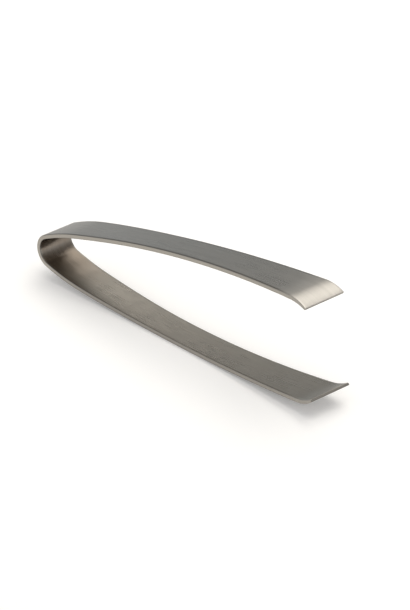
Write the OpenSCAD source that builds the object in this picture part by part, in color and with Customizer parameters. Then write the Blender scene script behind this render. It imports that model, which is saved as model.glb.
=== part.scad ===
// Fish bone tweezers: one strip of spring steel, bent into a hairpin.
// The arms bow outwards, the blank is waisted, and the wide jaws curve in and are ground thin inside.
// Millimetres. +X runs from the bow to the jaws, +Y across the strip, +Z up.
// The tweezers lie open on the belly of the lower arm. The origin is under the middle of their box.
// The strip is drawn in its zones: the bow with its two spring legs, the arms and the jaws.
// A leg meets its arm at a flex line, where the strip's springing is gathered into one round seat.

/* [Strip] */
// Thickness of the strip
strip_t = 1.5; // [1:0.1:2]
// Width of the strip round the bow
bow_w = 14; // [13:0.5:18]
// Width at the waist, the narrowest place of the arms
waist_w = 12.1; // [10:0.1:12.9]
// Distance of the waist from the back of the bow
waist_x = 57; // [50:1:75]
// Width of the jaws at their tips
jaw_w = 17; // [13.5:0.5:20]

/* [Bow] */
// Inside radius of the bow
bow_in_r = 4.65; // [3:0.05:7]
// Angle between a spring leg and the centre line, where the leg leaves the bow
leg_splay = 20.7; // [17:0.1:26]
// Length of a spring leg along its middle
leg_len = 16; // [12:0.5:26]
// Angle through which a spring leg curves in
leg_bend = 10; // [6:0.5:15]

/* [Arms] */
// Straight length of an arm, from its flex line to its jaw
arm_chord = 106; // [85:0.5:130]
// Height of an arm's outward curve above that straight line
arm_camber = 2.8; // [1.5:0.1:4]

/* [Jaws] */
// Angle through which a jaw curves in
jaw_bend = 33; // [20:1:40]
// Inside radius of that curve, before the jaw is ground
jaw_in_r = 12.5; // [9:0.25:18]
// Thickness left at the tip by the grinding
tip_t = 0.9; // [0.4:0.05:1.2]
// Length of the flat land that is honed inside the tip
land_len = 1.5; // [1:0.25:3]
// Depth that the honing takes off at the tip
hone = 0.05; // [0.02:0.01:0.1]

/* [Flex lines] */
// Radius of the round nose at the end of a spring leg
nose_r = 1; // [1:0.05:1.6]
// Clearance between the nose and its seat in the arm
nose_gap = 0.05; // [0.02:0.01:0.1]

/* [Rest] */
// Angle between the centre line and the floor, at which the tweezers balance on the lower arm
rest_tilt = 5.5; // [3:0.1:8]

/* [Hidden] */
$fn = 96;
steel = [0.56, 0.55, 0.53];
ground_steel = [0.8, 0.78, 0.74];

// A heading is the direction of the strip's middle line, in degrees above +X.
// The strip turns steadily down as it goes, so each arc's centre lies on its right.
function outward(heading) = [-sin(heading), cos(heading)];
function arc_centre(p, r, heading) = p - r * outward(heading);
function arc_point(c, r, heading) = c + r * outward(heading);
function arc_radius(chord, camber) = (chord * chord / 4 + camber * camber) / (2 * camber);
function turned(p) = [
    p[0] * cos(rest_tilt) - p[1] * sin(rest_tilt),
    p[0] * sin(rest_tilt) + p[1] * cos(rest_tilt)
];

// The middle line of the upper half: radii, headings, centres and ends of its arcs
apex_heading = 90;
leg_heading = leg_splay;
flex_heading = leg_heading - leg_bend;
bow_r = bow_in_r + strip_t / 2;
leg_r = leg_len / (leg_bend * PI / 180);
arm_r = arc_radius(arm_chord, arm_camber);
jaw_r = jaw_in_r + strip_t / 2;
turn_heading = flex_heading - 2 * asin(arm_chord / (2 * arm_r));
jaw_heading = turn_heading - jaw_bend;
bow_c = [bow_r, 0];
leg_c = arc_centre(arc_point(bow_c, bow_r, leg_heading), leg_r, leg_heading);
flex_p = arc_point(leg_c, leg_r, flex_heading);
arm_c = arc_centre(flex_p, arm_r, flex_heading);
turn_p = arc_point(arm_c, arm_r, turn_heading);
jaw_c = arc_centre(turn_p, jaw_r, turn_heading);
tip_outer_p = arc_point(jaw_c, jaw_r + strip_t / 2, jaw_heading);
tip_inner_p = tip_outer_p - tip_t * outward(jaw_heading);

// The inside of a jaw is ground on a wider arc, which leaves the arm's inner face smoothly.
// The land then runs straight from that arc to the tip.
ground_from_p = turn_p - strip_t / 2 * outward(turn_heading);
ground_chord = tip_inner_p - hone * outward(jaw_heading) - ground_from_p;
ground_r = -ground_chord * ground_chord / (2 * ground_chord * outward(turn_heading));
ground_c = arc_centre(ground_from_p, ground_r, turn_heading);
ground_heading = turn_heading - 2 * asin(norm(ground_chord) / (2 * ground_r));
land_from_p = arc_point(ground_c, ground_r, ground_heading + land_len / ground_r * 180 / PI);

// Half the blank's width at a distance x from the back of the bow:
// it eases in from the bow to the waist, and then flares ever faster to the tips
bow_to_waist = waist_x - bow_c[0];
waist_to_tip = tip_outer_p[0] - waist_x;
function fading(share) = (1 + cos(180 * share)) / 2;
function eased_in(x) = (waist_w + (bow_w - waist_w) * fading((x - bow_c[0]) / bow_to_waist)) / 2;
function flared(x) = (waist_w + (jaw_w - waist_w) * pow((x - waist_x) / waist_to_tip, 2)) / 2;

// Where the tweezers lie: the lower arm's belly on the floor, the box centred on the origin
lower_arm_c = turned([arm_c[0], -arm_c[1]]);
lift = arm_r + strip_t / 2 - lower_arm_c[1];
back_x = turned(bow_c)[0] - bow_r - strip_t / 2;
front_x = turned([tip_outer_p[0], -tip_outer_p[1]])[0];
middle_x = (back_x + front_x) / 2;

// Room that cuts have beyond the strip
spare = 10;
reach = tip_outer_p[0] + spare;
// Sides of a long flat arc, and steps in each of the blank's two side curves
long_arc_sides = 256;
side_steps = 6;

// From the centre line's frame to the floor's
module at_rest() {
    translate([-middle_x, 0, lift]) rotate([0, -rest_tilt, 0]) children();
}

// A disc about the flex line
module flex_disc(r) {
    translate(flex_p) circle(r);
}

// Where a spring leg may be: from the bow's end to the flex line and its nose, and past the centre line
module leg_zone() {
    bow_end = arc_point(bow_c, bow_r, leg_heading);
    past = [0, strip_t];
    polygon([
        bow_c - past,
        bow_end + spare * outward(leg_heading),
        flex_p + spare * outward(flex_heading),
        [flex_p[0] + flex_p[1] * tan(flex_heading), 0] - past
    ]);
    flex_disc(nose_r);
}

// All that lies inside the hairpin's surface, where that is `off` outside its middle line
module inside_hairpin(off) {
    translate(bow_c) circle(bow_r + off);
    for (side = [0, 1])
        mirror([0, side]) intersection() {
            translate(leg_c) circle(leg_r + off, $fn = long_arc_sides);
            leg_zone();
        }
}

// The bow and both spring legs, with their noses
module hairpin_profile() {
    difference() {
        inside_hairpin(strip_t / 2);
        inside_hairpin(-strip_t / 2);
    }
}

// A length of the arm's ring, from the flex line to the jaw, with the nose's round seat cut into its end
module arm_profile() {
    far = 2 * arm_r;
    difference() {
        intersection() {
            translate(arm_c) difference() {
                circle(arm_r + strip_t / 2, $fn = long_arc_sides);
                circle(arm_r - strip_t / 2, $fn = long_arc_sides);
            }
            polygon([arm_c, arm_c + far * outward(flex_heading), arm_c + far * outward(turn_heading)]);
        }
        flex_disc(nose_r + nose_gap);
    }
}

// What the grinding and the honing take from the inside of a jaw
module inside_jaw() {
    past_tip = land_from_p + 2 * (tip_inner_p - land_from_p);
    translate(ground_c) circle(ground_r);
    polygon([ground_c, past_tip, land_from_p]);
}

// The curve of a jaw, at full thickness where it leaves the arm and thin at the tip
module jaw_profile() {
    far = 2 * jaw_r;
    difference() {
        intersection() {
            translate(jaw_c) circle(jaw_r + strip_t / 2);
            polygon([jaw_c, jaw_c + far * outward(jaw_heading), jaw_c + far * outward(turn_heading)]);
        }
        inside_jaw();
    }
}

// The blank seen from above: parallel round the bow, waisted along the arms, flared to the tips
module blank_outline() {
    side = [
        [-spare, bow_w / 2],
        for (i = [0:side_steps - 1]) let (x = bow_c[0] + bow_to_waist * i / side_steps) [x, eased_in(x)],
        for (i = [0:side_steps]) let (x = waist_x + waist_to_tip * i / side_steps) [x, flared(x)],
        [reach, jaw_w / 2]
    ];
    polygon([each side, for (i = [len(side) - 1:-1:0]) [side[i][0], -side[i][1]]]);
}

// A profile made into steel, as wide as the blank is at each place
module formed() {
    intersection() {
        rotate([90, 0, 0]) linear_extrude(jaw_w + spare, center = true) children();
        linear_extrude(reach, center = true) blank_outline();
    }
}

// The lower half is the upper half turned over
module lower_half() {
    mirror([0, 0, 1]) children();
}

module spring_bow() { color(steel) at_rest() formed() hairpin_profile(); }
module upper_arm() { color(steel) at_rest() formed() arm_profile(); }
module lower_arm() { color(steel) at_rest() lower_half() formed() arm_profile(); }
module upper_jaw() { color(ground_steel) at_rest() formed() jaw_profile(); }
module lower_jaw() { color(ground_steel) at_rest() lower_half() formed() jaw_profile(); }

spring_bow();
upper_arm();
lower_arm();
upper_jaw();
lower_jaw();
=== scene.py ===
# %% [markdown]
# # Fish bone tweezers
# One strip of spring steel is bent into a hairpin. It has a round bow, two arms that bow outwards, and
# two wide jaws that curve in and are ground thin, so that they can grip a thin bone.
# The packed CAD model is the fixed frame. Every piece below is built in that frame and takes the place of
# one CAD node. The bow and the jaws move with the CAD bodies.

# %% Load the frame
import math
from collections import namedtuple

import bpy
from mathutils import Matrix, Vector


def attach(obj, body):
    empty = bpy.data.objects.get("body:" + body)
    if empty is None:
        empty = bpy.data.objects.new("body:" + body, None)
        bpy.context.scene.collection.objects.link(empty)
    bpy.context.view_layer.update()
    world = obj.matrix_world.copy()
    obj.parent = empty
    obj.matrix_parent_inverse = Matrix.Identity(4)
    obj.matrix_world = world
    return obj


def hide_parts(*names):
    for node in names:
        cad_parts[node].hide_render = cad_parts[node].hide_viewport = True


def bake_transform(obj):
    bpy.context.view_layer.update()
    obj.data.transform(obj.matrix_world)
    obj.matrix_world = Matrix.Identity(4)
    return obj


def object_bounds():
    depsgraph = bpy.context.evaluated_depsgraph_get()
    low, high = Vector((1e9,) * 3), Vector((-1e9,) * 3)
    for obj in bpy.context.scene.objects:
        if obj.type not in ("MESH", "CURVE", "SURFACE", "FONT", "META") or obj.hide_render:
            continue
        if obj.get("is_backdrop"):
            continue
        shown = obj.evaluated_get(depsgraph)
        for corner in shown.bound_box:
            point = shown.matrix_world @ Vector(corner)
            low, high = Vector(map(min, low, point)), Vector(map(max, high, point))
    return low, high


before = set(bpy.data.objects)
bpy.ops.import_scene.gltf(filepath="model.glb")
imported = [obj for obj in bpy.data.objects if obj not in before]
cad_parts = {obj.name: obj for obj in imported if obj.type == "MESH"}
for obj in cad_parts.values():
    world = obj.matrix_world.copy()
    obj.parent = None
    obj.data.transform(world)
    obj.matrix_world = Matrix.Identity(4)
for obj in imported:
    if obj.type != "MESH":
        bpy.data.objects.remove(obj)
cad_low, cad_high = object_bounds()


def size_mm(low, high):
    """Length, width and height of a box, in mm."""
    return [round(1000 * (b - a), 2) for a, b in zip(low, high)]


print("CAD nodes:", sorted(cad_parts))
print("CAD box in mm:", size_mm(cad_low, cad_high))

# %% [markdown]
# ## The sizes
# A scene script can't read the CAD source, so it repeats the few sizes that shape the strip.
# They are in millimetres and degrees, as on a maker's drawing, and become metres at the very end.
# Each radius is that of the strip's middle line.

# %% Sizes of the strip
STRIP_T = 1.5
HALF_T = STRIP_T / 2
# Widths of the blank, and how far the waist is from the back of the bow
BOW_W, WAIST_W, JAW_W = 14.0, 12.1, 17.0
WAIST_X = 57.0
# The bow, and the spring legs that leave it at an angle and curve in
BOW_R = 5.4
LEG_SPLAY, LEG_LEN, LEG_BEND = 20.7, 16.0, 10.0
# The arms, each given by its straight length and the height of its outward curve
ARM_CHORD, ARM_CAMBER = 106.0, 2.8
# The jaws, with the thickness at the tip and the flat land that is honed there
JAW_R, JAW_BEND = 13.25, 33.0
TIP_T, LAND_LEN, HONE = 0.9, 1.5, 0.05
# The angle between the centre line and the table
REST_TILT = 5.5

ARM_R = (ARM_CHORD ** 2 / 4 + ARM_CAMBER ** 2) / (2 * ARM_CAMBER)
ARM_SWEEP = 2 * math.degrees(math.asin(ARM_CHORD / (2 * ARM_R)))
print(f"an arm is an arc of {ARM_SWEEP:.2f} degrees with a radius of {ARM_R:.1f} mm")

# %% [markdown]
# ## The middle line
# On the real tool one flat strip is bent, so its middle line is a chain of arcs. Each half has four: the
# bow, a spring leg, an arm and a jaw. A Bezier curve could be drawn by eye, but a formula gives the exact
# arcs, and anything can then be asked for by its length along the strip: a place, a heading, a width.
# The length is 0 at the back of the bow. It is positive on the upper half, and negative on the lower
# half, which is the mirror image.

# %% The arcs of one half
def outward(heading):
    """The unit vector to the left of a heading in degrees: there lies the outside of the strip."""
    a = math.radians(heading)
    return Vector((-math.sin(a), math.cos(a)))


def arcs_of_half():
    """(length at the start, heading there, radius, centre) of each arc, and the length at the tip."""
    heading, length, place, found = 90.0, 0.0, Vector((0, 0)), []
    turns = (
        (BOW_R, 90.0 - LEG_SPLAY),
        (LEG_LEN / math.radians(LEG_BEND), LEG_BEND),
        (ARM_R, ARM_SWEEP),
        (JAW_R, JAW_BEND),
    )
    for radius, turn in turns:
        centre = place - radius * outward(heading)
        found.append((length, heading, radius, centre))
        heading -= turn
        length += radius * math.radians(turn)
        place = centre + radius * outward(heading)
    return found, length


ARCS, TIP_S = arcs_of_half()
LEG_S, FLEX_S, TURN_S = (arc[0] for arc in ARCS[1:])
print(f"leg from {LEG_S:.2f}, flex line {FLEX_S:.2f}, jaw from {TURN_S:.2f} to {TIP_S:.2f} mm")


# %% A place on the middle line
def upper_line(s):
    """Place and heading of the upper half's middle line, s mm from the back of the bow."""
    start, heading, radius, centre = [arc for arc in ARCS if arc[0] <= s][-1]
    heading -= math.degrees((s - start) / radius)
    return centre + radius * outward(heading), heading


def strip_line(s):
    """The same for the whole strip. The lower half runs backwards, so its outside is on the left too."""
    place, heading = upper_line(abs(s))
    return (place, heading) if s >= 0 else (Vector((place.x, -place.y)), 180 - heading)


TURN_P, TURN_HEADING = upper_line(TURN_S)
TIP_P, TIP_HEADING = upper_line(TIP_S)
print(f"the strip heads {TURN_HEADING:.1f} degrees where a jaw begins, and {TIP_HEADING:.1f} at its tip")

# %% [markdown]
# ## Width and thickness
# The blank was cut to a waisted outline before it was bent, so its width goes by the distance from the
# back of the bow. The two faces lie half a thickness from the middle line. Inside a jaw a wheel has
# ground a wider arc than the bend's, so the jaw thins to its tip, and the last bit is honed flat. A
# taper could be had with a modifier, but the formulas keep the exact faces that the CAD model has.

# %% Width of the blank
TIP_OUTER = TIP_P + HALF_T * outward(TIP_HEADING)


def half_width(x):
    """Half the blank's width, x mm from the back of the bow."""
    if x < WAIST_X:
        share = max(0.0, (x - BOW_R) / (WAIST_X - BOW_R))
        fading = (1 + math.cos(math.pi * share)) / 2
        return (WAIST_W + (BOW_W - WAIST_W) * fading) / 2
    share = (x - WAIST_X) / (TIP_OUTER.x - WAIST_X)
    return (WAIST_W + (JAW_W - WAIST_W) * share ** 2) / 2


print("half widths in mm:", [round(half_width(x), 2) for x in (0, 30, WAIST_X, 100, TIP_OUTER.x)])

# %% Outer and inner face
TIP_INNER = TIP_OUTER - TIP_T * outward(TIP_HEADING)
GROUND_FROM = TURN_P - HALF_T * outward(TURN_HEADING)
ground_chord = TIP_INNER - HONE * outward(TIP_HEADING) - GROUND_FROM
GROUND_R = -ground_chord.length_squared / (2 * ground_chord.dot(outward(TURN_HEADING)))
GROUND_C = GROUND_FROM - GROUND_R * outward(TURN_HEADING)
ground_turn = 2 * math.asin(ground_chord.length / (2 * GROUND_R)) - LAND_LEN / GROUND_R
LAND_FROM = GROUND_C + GROUND_R * outward(TURN_HEADING - math.degrees(ground_turn))
LAND = TIP_INNER - LAND_FROM
LAND_OUT = Vector((-LAND.y, LAND.x)).normalized()


def face_offsets(s):
    """Distances of the outer and the inner face from the middle line, s mm from the back of the bow."""
    if abs(s) <= TURN_S:
        return HALF_T, -HALF_T
    place, heading = upper_line(abs(s))
    out, arm = outward(heading), place - GROUND_C
    reach = arm.dot(out)
    ground = math.sqrt(reach ** 2 - arm.length_squared + GROUND_R ** 2) - reach
    if (place + ground * out - LAND_FROM).dot(LAND) > 0:
        ground = (LAND_FROM - place).dot(LAND_OUT) / out.dot(LAND_OUT)
    return HALF_T, ground


along_a_jaw = (TURN_S, TIP_S - 4, TIP_S - LAND_LEN, TIP_S)
print("inner face along a jaw in mm:", [round(face_offsets(s)[1], 3) for s in along_a_jaw])

# %% [markdown]
# ## The cross-section
# A sheared strip that has been tumbled has small round corners. They catch the fine dark and light lines
# along the edges, so they are real geometry here. A bevel in the shading would be quicker, but an
# exported model would lose it. A section is a ring in four runs: outer face, far side, inner face and
# near side. Each point also notes how far along its run it is, for the brush lines, and how much it
# belongs to a corner, for the lines of painted shade and painted highlight that are laid on the corners.

# %% One ring of the strip
CORNER_R, CORNER_STEPS = 0.3, 5
# The most of the thickness that one corner takes, and how far beside it the painted corner line ends
CORNER_SHARE = 0.45
PAINTED_LINE_REACH = 0.7


def ring_runs(s, inset):
    """Four runs of (place, across, grain, corner) round the strip, drawn in by inset at a tip.
    A run ends on the point where the next one begins."""
    place, heading = strip_line(s)
    out = outward(heading)
    top, bottom = face_offsets(s)
    top, bottom = top - inset, bottom + inset
    r = min(CORNER_R, CORNER_SHARE * (top - bottom))

    def at(offset, back, side):
        """The point that lies offset out from the middle line, and back from the strip's side."""
        p = place + offset * out
        return p, side * (half_width(p.x) - inset - back)

    def face(offset, side):
        """A face from corner to corner. Points beside each corner keep its painted line from the middle.
        """
        row = []
        places = ((0, -side, 1), (PAINTED_LINE_REACH, -side, 0), (PAINTED_LINE_REACH, side, 0), (0, side, 1))
        for back, way, corner in places:
            p, y = at(offset, r + back, way)
            row.append((p, y, y, corner))
        return row

    def edge(first, last, side):
        """A side with its two quarter rounds, from the face at first to the face at last."""
        row, length, before = [], 0.0, None
        for end, turn in ((first, 0), (last, 1)):
            for k in range(CORNER_STEPS + 1):
                share = k / CORNER_STEPS
                a = math.pi / 2 * abs(turn - share)
                inward = side * (1 - 2 * turn) * r * (1 - math.cos(a))
                p, y = at(end - inward, r * (1 - math.sin(a)), side)
                here = Vector((p.x, y, p.y))
                length += 0.0 if before is None else (here - before).length
                row.append((p, y, length, abs(1 - turn - share)))
                before = here
        return row

    return [face(top, 1), edge(top, bottom, 1), face(bottom, -1), edge(bottom, top, -1)]


print("points in a ring:", sum(len(run) - 1 for run in ring_runs(LEG_S, 0)))

# %% [markdown]
# ## Lying on the table
# The tweezers rest on the belly of the lower arm, a little tilted, as the real ones do when they are
# put down. The pieces could be built level and then turned as objects, but a CAD object sits at the
# origin with its place in its mesh, so every point is turned here, and the pieces sit at the origin too.

# %% Where the strip lies
tilt = math.radians(REST_TILT)
arm_centre = ARCS[2][3]
LIFT = ARM_R + HALF_T - (arm_centre.x * math.sin(tilt) - arm_centre.y * math.cos(tilt))
back_x = BOW_R * math.cos(tilt) - BOW_R - HALF_T
front_x = TIP_OUTER.x * math.cos(tilt) + TIP_OUTER.y * math.sin(tilt)
MIDDLE_X = (back_x + front_x) / 2


def at_rest(place, across):
    """From the centre line's frame, in mm, to the table's frame, in metres."""
    x = place.x * math.cos(tilt) - place.y * math.sin(tilt) - MIDDLE_X
    z = place.x * math.sin(tilt) + place.y * math.cos(tilt) + LIFT
    return Vector((x, across, z)) / 1000


def on_strip(s):
    """A point of the middle line, in metres in the table's frame."""
    return at_rest(strip_line(s)[0], 0.0)


print("back of the bow in mm:", [round(1000 * c, 2) for c in on_strip(0)])

# %% [markdown]
# ## Sweeping the ring into a closed piece
# Rings are set along the middle line and skinned with four-sided faces, and each end gets a cap, so
# that every piece is a closed solid like the real steel. A curve with a bevel object would be
# quicker, but it can't change width and thickness by formula. A UV map called grain keeps the
# length along the strip and the distance across it in metres, so that brush lines follow the bends.
# Each run of the ring has its own place in that map, so no two faces show the same lines.

# %% Faces between rings
RUN_GAP = 40.0
# Places of the materials that the pieces get later: outside, edges, inside, and edges again
RUN_MATERIALS = (0, 1, 2, 1)
CAP_MATERIAL = 1
RING_POINTS = sum(len(run) - 1 for run in ring_runs(0, 0))


def skin(rings, stations):
    """(points, grain at the points, material) of each face between two rings."""
    made = []
    for k in range(len(rings) - 1):
        near, far = stations[k][0], stations[k + 1][0]
        column = 0
        for kind, (run, after) in enumerate(zip(rings[k], rings[k + 1])):
            shift = RUN_GAP * kind
            for j in range(len(run) - 1):
                a = k * RING_POINTS + column
                b = k * RING_POINTS + (column + 1) % RING_POINTS
                grain = [(near, run[j][2] + shift), (far, after[j][2] + shift),
                         (far, after[j + 1][2] + shift), (near, run[j + 1][2] + shift)]
                made.append(((a, a + RING_POINTS, b + RING_POINTS, b), grain, RUN_MATERIALS[kind]))
                column += 1
    return made


def caps(rings):
    """The same for the two end faces."""
    made = []
    for k, order in ((0, 1), (len(rings) - 1, -1)):
        points = [k * RING_POINTS + j for j in range(RING_POINTS)][::order]
        flat = [(p, y) for run in rings[k] for p, y, _, _ in run[:-1]][::order]
        grain = [(y, 1000 * at_rest(p, y).z + 4 * RUN_GAP) for p, y in flat]
        made.append((points, grain, CAP_MATERIAL))
    return made


print("faces between two rings:", RING_POINTS)

# %% From rings to a mesh
SHARP_ANGLE = math.radians(40)


def sweep(name, stations):
    """A closed mesh object through the rings at stations, a list of (length along the strip, inset)."""
    rings = [ring_runs(s, inset) for s, inset in stations]
    points = [point for runs in rings for run in runs for point in run[:-1]]
    faces = skin(rings, stations) + caps(rings)
    mesh = bpy.data.meshes.new(name)
    mesh.from_pydata([at_rest(p, y) for p, y, _, _ in points], [], [corners for corners, _, _ in faces])
    layer = mesh.uv_layers.new(name="grain")
    layer.data.foreach_set("uv", [c / 1000 for _, grain, _ in faces for pair in grain for c in pair])
    painted_lines = mesh.attributes.new("corner", "FLOAT", "POINT")
    painted_lines.data.foreach_set("value", [corner for _, _, _, corner in points])
    mesh.polygons.foreach_set("material_index", [material for _, _, material in faces])
    mesh.polygons.foreach_set("use_smooth", [True] * len(faces))
    mesh.set_sharp_from_angle(angle=SHARP_ANGLE)
    piece = bpy.data.objects.new(name, mesh)
    bpy.context.scene.collection.objects.link(piece)
    low, high = ([end(v.co[i] for v in mesh.vertices) for i in range(3)] for end in (min, max))
    print(f"{name}: {len(points)} points, {len(faces)} faces, a box of {size_mm(low, high)} mm")
    return piece


print(f"edges of more than {math.degrees(SHARP_ANGLE):.0f} degrees stay sharp")


# %% Stations along the strip
def stretch(first, last, pace):
    """Even stations from first to last, about pace mm apart."""
    n = max(1, round(abs(last - first) / pace))
    return [(first + (last - first) * k / n, 0.0) for k in range(n + 1)]


def chain(*stretches):
    """Stretches joined, with each shared station kept once."""
    joined = list(stretches[0])
    for one in stretches[1:]:
        joined += one[1:]
    return joined


def on_half(half, stations):
    """Stations of the upper half, or the same on the lower half, which runs the other way."""
    return stations if half == "upper" else [(-s, inset) for s, inset in reversed(stations)]


SIGNS = {"upper": 1, "lower": -1}
print("a leg in four steps, in mm:", [round(s, 2) for s, _ in stretch(LEG_S, FLEX_S, LEG_LEN / 4)])

# %% [markdown] ## The bow The bow is bent round a mandrel and is the root of the spring. Its piece
# ends part of the way along each leg, where the steel begins to flex. The arms go on from there with
# the same ring, so no seam shows.

# %% Bow
FLEX_REACH = 13.0
SEAM_S = FLEX_S - FLEX_REACH
BOW_PACE, LEG_PACE = 0.25, 0.6
bow = sweep("spring_bow_strip", chain(
    stretch(-SEAM_S, -LEG_S, LEG_PACE),
    stretch(-LEG_S, LEG_S, BOW_PACE),
    stretch(LEG_S, SEAM_S, LEG_PACE)))
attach(bow, "bow")
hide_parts("spring_bow")

# %% [markdown] ## The arms Each arm is a long, slightly cambered strip. When it is squeezed, the
# steel bends over some centimetres, and not at a pin. The CAD model gathers that bend into one hinge
# line.

# %% Arms
ARM_PACE, TURN_PACE, NEAR_TURN = 1.2, 0.3, 1.0
arms = {}
for half, sign in SIGNS.items():
    arm = sweep(f"{half}_arm_strip", on_half(half, chain(
        stretch(SEAM_S, FLEX_S, LEG_PACE),
        stretch(FLEX_S, TURN_S - NEAR_TURN, ARM_PACE),
        stretch(TURN_S - NEAR_TURN, TURN_S, TURN_PACE))))
    on_strip(sign * SEAM_S)
    on_strip(sign * (FLEX_S + FLEX_REACH))
    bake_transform(arm)
    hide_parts(f"{half}_arm")
    arms[half] = arm

# %% [markdown]
# ## The jaws
# A jaw curves in by 33 degrees and thins to its tip. The sharp rim of the tip was broken with a stone,
# so it has a very small round. The last rings are drawn in along a quarter circle to make that round.
# A bevel modifier could do it, but it would need a vertex group to find the rim.

# %% Jaws
JAW_PACE, RIM_R, RIM_STEPS = 0.2, 0.1, 4
rim_angles = [math.pi / 2 * k / RIM_STEPS for k in range(1, RIM_STEPS + 1)]
rim = [(TIP_S - RIM_R * (1 - math.sin(a)), RIM_R * (1 - math.cos(a))) for a in rim_angles]
jaws = {}
for half in SIGNS:
    jaw = sweep(f"{half}_jaw_tip", on_half(half, stretch(TURN_S, TIP_S - RIM_R, JAW_PACE) + rim))
    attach(jaw, half)
    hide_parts(f"{half}_jaw")
    jaws[half] = jaw

# %% [markdown]
# ## Writing shader maths
# A shader is a graph of nodes. This small class wraps one socket, so that `1 - mask` or
# `0.2 + 0.1 * lines` reads as maths and adds the Math nodes by itself. Every other node comes from one
# method. The nodes could be added and linked line by line, but the formulas would be hard to see.
# Three helpers after it mix colours, make smooth rises and open a new material.

# %% A socket that can be calculated with
class Shade:
    """One output socket of a node tree."""

    def __init__(self, tree, socket=None):
        self.tree, self.socket = tree, socket

    def node(self, kind, settings=None, sockets=None, out=0):
        """A node of that kind: its settings are set first, then its sockets get values or links."""
        made = self.tree.nodes.new(kind)
        for name, value in (settings or {}).items():
            if name == "stops":
                ramp = made.color_ramp
                while len(ramp.elements) < len(value):
                    ramp.elements.new(1.0)
                for element, (position, colour) in zip(ramp.elements, value):
                    element.position, element.color = position, (*colour, 1.0)
            else:
                setattr(made, name, value)
        for name, value in (sockets or {}).items():
            if isinstance(value, Shade):
                self.tree.links.new(value.socket, made.inputs[name])
            else:
                made.inputs[name].default_value = value
        return Shade(self.tree, made.outputs[out] if made.outputs else None)

    def maths(self, operation, *values):
        """A Math node on these numbers or Shades."""
        return self.node("ShaderNodeMath", {"operation": operation}, dict(enumerate(values)))

    def __add__(self, other):
        return self.maths("ADD", self, other)

    def __sub__(self, other):
        return self.maths("SUBTRACT", self, other)

    def __rsub__(self, other):
        return self.maths("SUBTRACT", other, self)

    def __mul__(self, other):
        return self.maths("MULTIPLY", self, other)

    __radd__, __rmul__ = __add__, __mul__


print("Shade:", Shade.__doc__)

# %% Colours, rises and new materials
MIX_FACTOR, MIX_A, MIX_B, MIX_RESULT = 0, 6, 7, 2


def mix(start, factor, a, b):
    """A colour between a and b. A Mix node has sockets for each type of data: these are the colours'."""
    return start.node("ShaderNodeMix", {"data_type": "RGBA"},
                      {MIX_FACTOR: factor, MIX_A: a, MIX_B: b}, MIX_RESULT)


def rise(start, value, low, high):
    """0 where value is up to low, 1 where it is past high, and a smooth rise between."""
    return start.node("ShaderNodeMapRange", {"interpolation_type": "SMOOTHSTEP"},
                      {"Value": value, "From Min": low, "From Max": high})


def new_material(name):
    """A material with an empty node tree, and the start of its expressions."""
    material = bpy.data.materials.new(name)
    material.use_nodes = True
    material.node_tree.nodes.clear()
    return material, Shade(material.node_tree)


print("a colour is mixed from sockets", MIX_A, "and", MIX_B)

# %% [markdown]
# ## Brush lines
# The bent strip is brushed lengthwise. Seen close up, that is a mass of fine scratches, each about two
# centimetres long and a tenth of a millimetre wide. A noise that is stretched along the strip gives
# them. Much finer hairs lean the surface to the left and right, which spreads every reflection across
# the strip. An anisotropic shader could do that too, but an exported model would lose it. The arms
# swing about the Y axis, so across the strip is the Y direction at every pose.

# %% Lines along the strip
HAIR_LENGTH, HAIR_PITCH, HAIR_DETAIL = 8.0, 0.016, 0.0
NOISE_ROUGHNESS, NOISE_MIDDLE = 0.6, 0.5


def along_and_across(start):
    """Length along the strip and distance across it, in metres."""
    return start.node("ShaderNodeUVMap", {"uv_map": "grain"})


def lines(start, length, pitch, detail):
    """Noise in lines of that length and pitch, in mm, which follow the strip's bends."""
    stretched = start.node("ShaderNodeVectorMath", {"operation": "MULTIPLY"},
                           {0: along_and_across(start), 1: (1000 / length, 1000 / pitch, 1.0)})
    return start.node("ShaderNodeTexNoise", {"noise_dimensions": "2D"},
                      {"Vector": stretched, "Scale": 1.0, "Detail": detail, "Roughness": NOISE_ROUGHNESS})


def leaning(start, spread):
    """The surface's normal, leant across the strip by fine hairs."""
    hairs = lines(start, HAIR_LENGTH, HAIR_PITCH, HAIR_DETAIL)
    lean = start.node("ShaderNodeCombineXYZ", {}, {"Y": spread * (hairs - NOISE_MIDDLE)})
    upright = start.node("ShaderNodeNewGeometry", out="Normal")
    tilted = start.node("ShaderNodeVectorMath", {"operation": "ADD"}, {0: upright, 1: lean})
    return start.node("ShaderNodeVectorMath", {"operation": "NORMALIZE"}, {0: tilted})


print(f"a hair is {HAIR_LENGTH} mm long and {1000 * HAIR_PITCH:.0f} micrometres wide")

# %% [markdown]
# ## Changes along the strip
# The arms are brushed. The jaws are ground finer and, on the outside, paler, which is partly painted
# highlight, and the change runs out over the last millimetres of the arms. Two materials that meet at the
# seam would show a hard line, so one material has both finishes and changes smoothly with the length
# along the strip. Inside the bow a brown is laid over the steel in patches: that is painted shade in the
# hollow.

# %% From brushed to ground, and the painted shade in the bow
# Over this stretch the finish turns to ground; the paler outside of the jaws is partly painted highlight.
GRIND_AND_HIGHLIGHT_FROM, GRIND_AND_HIGHLIGHT_TO = TURN_S - 8.0, TURN_S + 4.0
# The brown below is painted shade in the hollow of the bow, laid on the inside faces and fading out along
# the legs.
HOLLOW_SHADE_BROWN = (0.21, 0.178, 0.147, 1)
HOLLOW_SHADE_FULL_TO, HOLLOW_SHADE_NONE_FROM = 8.0, 32.0
HOLLOW_SHADE_EVEN, HOLLOW_SHADE_BROAD, HOLLOW_SHADE_PATCHY = 0.55, 0.3, 0.4


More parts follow.
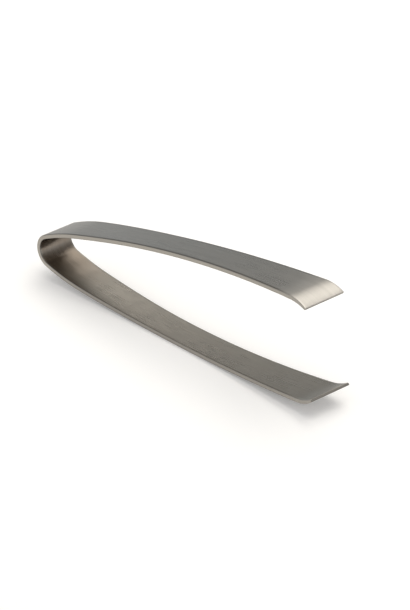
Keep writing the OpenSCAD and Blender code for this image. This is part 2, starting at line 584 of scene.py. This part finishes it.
def rise_along(start, near, far):
    """0 up to near mm from the back of the bow, on both halves, and 1 past far mm."""
    along = start.node("ShaderNodeSeparateXYZ", {}, {0: along_and_across(start)}, "X")
    return rise(start, start.maths("ABSOLUTE", along), near / 1000, far / 1000)


def with_painted_hollow_shade(start, colour, broad, patches):
    """The colour, with painted shade over it inside the bow, in a brown."""
    hollow_shade = 1 - rise_along(start, HOLLOW_SHADE_FULL_TO, HOLLOW_SHADE_NONE_FROM)
    patchy = HOLLOW_SHADE_EVEN + HOLLOW_SHADE_BROAD * broad + HOLLOW_SHADE_PATCHY * patches
    return mix(start, hollow_shade * patchy, colour, HOLLOW_SHADE_BROWN)


print(f"ground from {GRIND_AND_HIGHLIGHT_FROM:.1f} to {GRIND_AND_HIGHLIGHT_TO:.1f} mm, tint gone at {HOLLOW_SHADE_NONE_FROM} mm")

# %% [markdown]
# ## The steel
# One function makes every steel surface from two finishes, brushed and ground. Fine and broad lines
# change the colour a little, the fine ones also give a relief of a few micrometres, and soft patches
# are duller, as after handling. The corners get a colour of their own, painted along the edges: a dark
# line of painted shade on the brushed strip, and on the ground jaws a pale line, partly painted
# highlight.
# A plain metal with one grey and one roughness would be quicker, but it would look like foil.

# %% Steel finish
GRAZING_TINT = (0.6, 0.6, 0.6, 1)
# Lengths and widths in mm. A broad line is as wide as twelve fine ones.
FINE_LENGTH, BROAD_LENGTH, BROAD_PITCHES = 22.0, 60.0, 12
PATCH_LENGTH, PATCH_WIDTH = 24.0, 9.0
FINE_DETAIL, BROAD_DETAIL = 3.0, 2.0
# What the lines do to the colour, and what lines and patches add to the roughness
FINE_COLOUR, BROAD_COLOUR = 0.6, 0.4
FINE_DULLS, PATCH_DULLS = 0.10, 0.08
PAINTED_CORNER_LINES = 0.8
MICROMETRE = 1e-6
Finish = namedtuple("Finish", "dark light corner roughness depth spread")


def steel(name, line_pitch, brushed, ground, hollow_shaded=False):
    """Steel that is brushed along the arms and ground on the jaws, with lines of that pitch in mm.
    A Finish has the two colours of its lines, the colour of its corners, its least roughness, the depth
    of its lines in micrometres, and how far its hairs lean."""
    material, start = new_material(name)
    fine = lines(start, FINE_LENGTH, line_pitch, FINE_DETAIL)
    broad = lines(start, BROAD_LENGTH, BROAD_PITCHES * line_pitch, BROAD_DETAIL)
    patches = lines(start, PATCH_LENGTH, PATCH_WIDTH, BROAD_DETAIL)
    grind_and_highlight = rise_along(start, GRIND_AND_HIGHLIGHT_FROM, GRIND_AND_HIGHLIGHT_TO)

    def either(what):
        """The brushed value, which turns into the ground one towards the tip."""
        a, b = getattr(brushed, what), getattr(ground, what)
        if a == b:
            return a
        return a + (b - a) * grind_and_highlight if isinstance(a, float) else mix(start, grind_and_highlight, a, b)

    colour = mix(start, FINE_COLOUR * fine + BROAD_COLOUR * broad, either("dark"), either("light"))
    # Painted shade inside the bow.
    if hollow_shaded:
        colour = with_painted_hollow_shade(start, colour, broad, patches)
    corner = start.node("ShaderNodeAttribute", {"attribute_name": "corner"}, out="Fac")
    relief = {"Height": fine * either("depth"), "Strength": 1.0, "Distance": MICROMETRE}
    if brushed.spread:
        relief["Normal"] = leaning(start, either("spread"))
    shader = start.node("ShaderNodeBsdfPrincipled", {}, {
        # Painted lines on the corners: painted shade on the brushed strip, partly painted highlight on
        # the jaws.
        "Base Color": mix(start, PAINTED_CORNER_LINES * corner, colour, either("corner")),
        "Metallic": 1.0,
        "Roughness": either("roughness") + FINE_DULLS * fine + PATCH_DULLS * patches,
        "Normal": start.node("ShaderNodeBump", {}, relief),
        "Specular Tint": GRAZING_TINT})
    start.node("ShaderNodeOutputMaterial", {}, {"Surface": shader})
    print(f"{name}: {len(material.node_tree.nodes)} nodes")
    return material


print("a finish has", ", ".join(Finish._fields))

# %% [markdown]
# ## Outside, inside and edges
# The outside faces were brushed hardest and are a neutral grey. The inside faces are softer, because the
# brush
# only just gets in, and darker and warmer: painted shade between the arms, with a painted warm cast. The
# cut edges have a painted warm cast too and keep coarser lines from the shears. Vertex colours could tell
# the three apart, but one material for each is easier to change.

# %% Outside, inside and edges of the strip
# The dark corner colours are painted shade, lines along the brushed edges; the pale one on the jaws is
# partly painted highlight.
PAINTED_DARK_CORNER = (0.10, 0.095, 0.088, 1)
PAINTED_SOFT_DARK_CORNER = (0.26, 0.243, 0.218, 1)
GROUND_AND_HIGHLIGHT_CORNER = (0.46, 0.44, 0.41, 1)
FACE_PITCH, EDGE_PITCH = 0.12, 0.20
# The outside's ground finish is paler: ground steel, and partly a painted highlight that starts before
# the bend.
outside = steel(
    "steel_outside", FACE_PITCH,
    brushed=Finish(dark=(0.325, 0.314, 0.295, 1), light=(0.435, 0.42, 0.396, 1), corner=PAINTED_DARK_CORNER,
                   roughness=0.20, depth=5.0, spread=0.35),
    ground=Finish(dark=(0.32, 0.306, 0.284, 1), light=(0.57, 0.548, 0.515, 1), corner=GROUND_AND_HIGHLIGHT_CORNER,
                  roughness=0.31, depth=2.5, spread=0.35))
# The inside is darker and warmer than the outside: painted shade between the arms, with a painted warm
# cast.
inside = steel(
    "steel_inside", FACE_PITCH, hollow_shaded=True,
    brushed=Finish(dark=(0.318, 0.296, 0.264, 1), light=(0.372, 0.347, 0.311, 1), corner=PAINTED_SOFT_DARK_CORNER,
                   roughness=0.20, depth=3.0, spread=0.9),
    ground=Finish(dark=(0.305, 0.285, 0.255, 1), light=(0.37, 0.345, 0.31, 1), corner=GROUND_AND_HIGHLIGHT_CORNER,
                  roughness=0.20, depth=1.5, spread=0.5))
# The edges are warmer than the outside: a painted warm cast.
edges = steel(
    "steel_edges", EDGE_PITCH,
    brushed=Finish(dark=(0.33, 0.308, 0.275, 1), light=(0.40, 0.374, 0.335, 1), corner=PAINTED_DARK_CORNER,
                   roughness=0.28, depth=4.0, spread=0.0),
    ground=Finish(dark=(0.34, 0.318, 0.285, 1), light=(0.41, 0.384, 0.345, 1), corner=GROUND_AND_HIGHLIGHT_CORNER,
                  roughness=0.28, depth=4.0, spread=0.0))

for piece in (bow, *arms.values(), *jaws.values()):
    for material in (outside, edges, inside):
        piece.data.materials.append(material)
print("pieces in steel:", 1 + len(arms) + len(jaws))

# %% [markdown]
# ## The camera
# The place, direction and lens were fitted to the edges of the strip in the photograph: a long lens
# from 1.6 m away, 28 degrees above the table, looking past the jaws to the bow. A camera can also be
# aimed with a constraint, but a direction that is worked out can be used again to place the softbox.

# %% Camera
CAMERA_PLACE = (1.014225, -0.92969, 0.74873)
CAMERA_AZIMUTH, CAMERA_ELEVATION = math.radians(47.256), math.radians(28.1544)
SENSOR_MM, LENS_MM = 36.0, 282.696
right = Vector((math.cos(CAMERA_AZIMUTH), math.sin(CAMERA_AZIMUTH), 0.0))
back = Vector((-right.y, right.x, 0.0))
up = Vector((0.0, 0.0, 1.0))
looking = math.cos(CAMERA_ELEVATION) * back - math.sin(CAMERA_ELEVATION) * up
lens = bpy.data.cameras.new("camera")
lens.sensor_width, lens.lens = SENSOR_MM, LENS_MM
camera = bpy.data.objects.new("camera", lens)
camera.location = CAMERA_PLACE
camera.rotation_mode = "QUATERNION"
camera.rotation_quaternion = looking.to_track_quat("-Z", "Y")
bpy.context.scene.collection.objects.link(camera)
bpy.context.scene.camera = camera
bpy.context.scene.view_settings.view_transform = "Standard"
print("camera looks along", [round(c, 3) for c in looking])

# %% [markdown]
# ## The white sheet
# The tweezers lie on a wide sheet of matt white paper. The softbox alone leaves it a pale grey. A glow
# of its own, seen only by the camera and in reflections, takes it to white without more light on the
# steel. The glow grows with the distance, because the softbox doesn't reach far. More lamps would make
# the sheet white too, but they would wash out the steel and the shadow.

# %% Floor
REACH, JUST_BELOW = 40.0, -2e-5
square = ((-REACH, -REACH), (REACH, -REACH), (REACH, REACH), (-REACH, REACH))
floor_mesh = bpy.data.meshes.new("white_sheet")
floor_mesh.from_pydata([(x, y, JUST_BELOW) for x, y in square], [], [(0, 1, 2, 3)])
floor = bpy.data.objects.new("white_sheet", floor_mesh)
bpy.context.scene.collection.objects.link(floor)
floor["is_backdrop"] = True
print("a sheet of", 2 * REACH, "m, which reaches to the horizon in low views")

# %% Matt white with a glow
PAPER_WHITE = (0.86, 0.86, 0.86, 1)
NEAR_GLOW, FAR_GLOW = (0.18, 0.176, 0.174, 1), (0.52, 0.52, 0.52, 1)
NEAR, FAR = 0.3, 1.6
paper, start = new_material("white_sheet")
matt = start.node("ShaderNodeBsdfDiffuse", {}, {"Color": PAPER_WHITE})
spot = start.node("ShaderNodeNewGeometry", out="Position")
distance = start.node("ShaderNodeVectorMath", {"operation": "LENGTH"}, {0: spot}, "Value")
seen, shiny, through = (start.node("ShaderNodeLightPath", out=f"Is {ray} Ray")
                        for ray in ("Camera", "Glossy", "Transmission"))
glow = start.node("ShaderNodeEmission", {}, {
    "Color": mix(start, rise(start, distance, NEAR, FAR), NEAR_GLOW, FAR_GLOW),
    "Strength": seen + shiny + through})
lit = start.node("ShaderNodeAddShader", {}, {0: matt, 1: glow})
start.node("ShaderNodeOutputMaterial", {}, {"Surface": lit})
floor_mesh.materials.append(paper)
print(f"{paper.name}: {len(paper.node_tree.nodes)} nodes")

# %% [markdown]
# ## The room
# Steel shows what it faces, so the room matters more than the steel's own colour. A panorama picture
# would be the usual way, but this script uses no pictures, so the room is two walls of grey that change
# with the height above the table and blend at the sides. The wall behind the tweezers is pale near the
# table and darker higher up, which gives the arms their gradient. The wall in front of them is paler.

# %% Room
BACK_WAY = (-0.42, 0.90, 0.0)
BACK_WALL = [
    (0.0, (0.95, 1.0, 1.04)), (0.06, (0.78, 0.83, 0.86)), (0.12, (0.62, 0.655, 0.67)),
    (0.25, (0.57, 0.585, 0.585)), (0.35, (0.36, 0.365, 0.36)), (0.55, (0.34, 0.335, 0.325)),
    (0.9, (0.5, 0.5, 0.5))]
FRONT_WALL = [
    (0.0, (1.1, 1.12, 1.14)), (0.15, (0.9, 0.91, 0.92)), (0.4, (0.78, 0.78, 0.78)),
    (0.6, (0.6, 0.6, 0.6)), (0.9, (0.5, 0.5, 0.5))]
FRONT_TO, BACK_FROM = -0.3, 0.45
world = bpy.data.worlds.new("grey_room")
bpy.context.scene.world = world
world.use_nodes = True
world.node_tree.nodes.clear()
start = Shade(world.node_tree)
direction = start.node("ShaderNodeTexCoord", out="Generated")
height = start.node("ShaderNodeSeparateXYZ", {}, {0: direction}, "Z")
behind = start.node("ShaderNodeVectorMath", {"operation": "DOT_PRODUCT"},
                    {0: direction, 1: BACK_WAY}, "Value")
front_wall, back_wall = (start.node("ShaderNodeValToRGB", {"stops": stops}, {0: height})
                         for stops in (FRONT_WALL, BACK_WALL))
room = mix(start, rise(start, behind, FRONT_TO, BACK_FROM), front_wall, back_wall)
air = start.node("ShaderNodeBackground", {}, {"Color": room})
start.node("ShaderNodeOutputWorld", {}, {"Surface": air})
print(f"{world.name}: {len(world.node_tree.nodes)} nodes")

# %% [markdown]
# ## The softbox
# One large, slightly warm softbox hangs level over the tweezers and reaches far behind them. The curved
# upper jaw shows it as a bright band, and the sheet gets a soft shadow. A sun lamp would give a hard
# shadow and a thin glint. The lamp's power follows from its radiance and its area.

# %% Softbox
SOFTBOX_HEIGHT, SOFTBOX_RADIANCE = 1.0, 2.1
WARM_WHITE = (1.0, 0.96, 0.89)
# Its two ends in metres from the tweezers, away from the camera and to the camera's right
SOFTBOX_BACK, SOFTBOX_RIGHT = (-0.5, 1.25), (-0.2, 0.65)
lamp = bpy.data.lights.new("softbox", "AREA")
lamp.shape = "RECTANGLE"
lamp.size, lamp.size_y = (high - low for low, high in (SOFTBOX_BACK, SOFTBOX_RIGHT))
lamp.color = WARM_WHITE
lamp.energy = SOFTBOX_RADIANCE * math.pi * lamp.size * lamp.size_y
softbox = bpy.data.objects.new("softbox", lamp)
softbox.location = sum(SOFTBOX_BACK) / 2 * back + sum(SOFTBOX_RIGHT) / 2 * right + SOFTBOX_HEIGHT * up
softbox.rotation_euler = (0, 0, math.atan2(back.y, back.x))
bpy.context.scene.collection.objects.link(softbox)
print(f"softbox of {lamp.energy:.1f} W")

# %% [markdown]
# ## The two boxes
# The visual model is built to stay in the CAD model's box, and both boxes are printed.
# They could be compared by eye in the viewport, but printed numbers are exact.

# %% Sizes and end
low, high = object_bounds()
print("visual box in mm:", size_mm(low, high))
